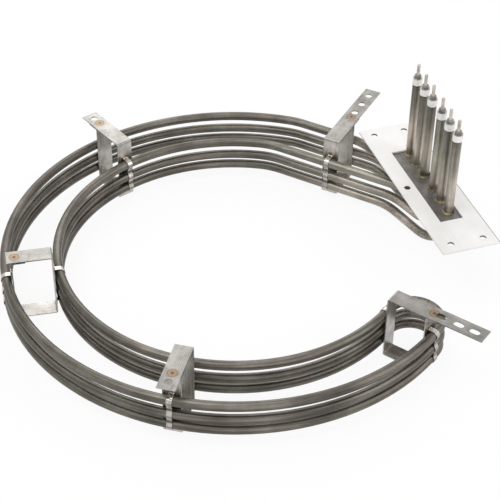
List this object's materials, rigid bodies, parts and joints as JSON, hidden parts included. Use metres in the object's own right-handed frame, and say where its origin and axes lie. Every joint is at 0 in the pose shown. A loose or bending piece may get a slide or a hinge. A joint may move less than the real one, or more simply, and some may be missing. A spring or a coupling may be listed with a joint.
{
  "type": "tubular heating element",
  "caption": "Sheathed tubular heater wound as a double ring round a fan, with folded strap brackets and a flange that carries insulated terminal studs.",
  "frame": {"origin": "centre of the flange's screw holes, on the flange's upper face", "axes": "+Z along the terminal studs, away from the heater rings; +X across the flange, away from the rings; +Y along the flange"},
  "size_m": [0.4031, 0.3995, 0.1519],
  "materials": {
    "sheath": "satin",
    "insulation": "matte",
    "resistance_wire": "satin",
    "stud": "satin",
    "seal": "satin",
    "ceramic": "satin",
    "fastener": "satin",
    "flange": "satin",
    "terminal_plate": "satin",
    "braze": "satin",
    "strap": "satin",
    "clip": "satin"
  },
  "bodies": {
    "root": {"sheath_upper": "sheath", "insulation_upper": "insulation", "resistance_coil_upper": "resistance_wire", "sheath_middle": "sheath", "insulation_middle": "insulation", "resistance_coil_middle": "resistance_wire", "sheath_lower": "sheath", "insulation_lower": "insulation", "resistance_coil_lower": "resistance_wire", "terminal_pin_1": "stud", "end_seal_1": "seal", "ceramic_bush_1": "ceramic", "terminal_washer_1": "fastener", "terminal_nut_1": "fastener", "terminal_pin_2": "stud", "end_seal_2": "seal", "ceramic_bush_2": "ceramic", "terminal_washer_2": "fastener", "terminal_nut_2": "fastener", "terminal_pin_3": "stud", "end_seal_3": "seal", "ceramic_bush_3": "ceramic", "terminal_washer_3": "fastener", "terminal_nut_3": "fastener", "terminal_pin_4": "stud", "end_seal_4": "seal", "ceramic_bush_4": "ceramic", "terminal_washer_4": "fastener", "terminal_nut_4": "fastener", "terminal_pin_5": "stud", "end_seal_5": "seal", "ceramic_bush_5": "ceramic", "terminal_washer_5": "fastener", "terminal_nut_5": "fastener", "terminal_pin_6": "stud", "end_seal_6": "seal", "ceramic_bush_6": "ceramic", "terminal_washer_6": "fastener", "terminal_nut_6": "fastener", "flange_plate": "flange", "terminal_plate": "terminal_plate", "braze_rings": "braze", "bracket_1": "strap", "outer_clip_1": "clip", "inner_clip_1": "clip", "bracket_2": "strap", "outer_clip_2": "clip", "inner_clip_2": "clip", "bracket_3": "strap", "outer_clip_3": "clip", "inner_clip_3": "clip", "bracket_4": "strap", "outer_clip_4": "clip", "inner_clip_4": "clip", "bracket_5": "strap", "outer_clip_5": "clip", "inner_clip_5": "clip"}
  },
  "joints": []
}
